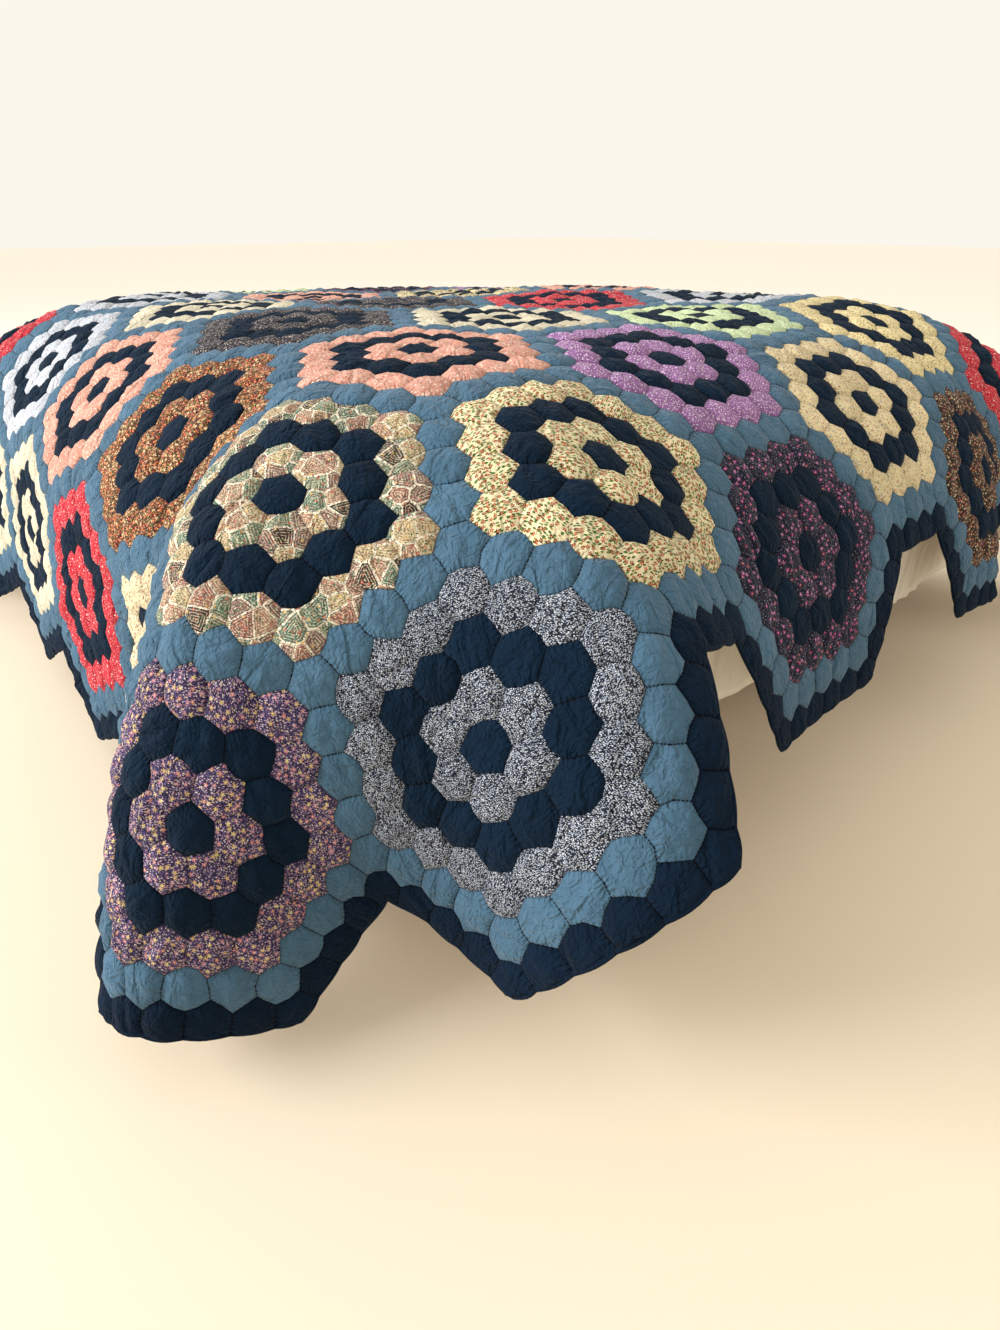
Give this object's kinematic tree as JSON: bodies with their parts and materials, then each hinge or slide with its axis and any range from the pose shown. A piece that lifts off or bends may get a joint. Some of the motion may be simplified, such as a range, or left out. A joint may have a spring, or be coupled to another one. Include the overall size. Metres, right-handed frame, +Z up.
{
  "type": "patchwork quilt on a bed",
  "caption": "Hexagon patchwork quilt draped over a plain low bed, falling past its sides in soft folds to a stepped hem.",
  "frame": {"origin": "on the floor, under the middle of the quilt's outline", "axes": "+Z up, X across the bed, Y along the bed; the corner with the deep folds is at -X -Y"},
  "size_m": [2.4352, 2.577, 0.7306],
  "materials": {
    "quilt_cotton": "matt pieced and quilted cotton",
    "plain_cotton": "matt plain cotton",
    "mattress_cover": "matt woven cover",
    "base_wood": "satin",
    "leg_wood": "satin"
  },
  "bodies": {
    "root": {"quilt": "quilt_cotton", "bed_sheet": "plain_cotton", "mattress": "mattress_cover", "bed_base": "base_wood", "leg_near_left": "leg_wood", "leg_near_right": "leg_wood", "leg_far_right": "leg_wood", "leg_far_left": "leg_wood"}
  },
  "joints": []
}
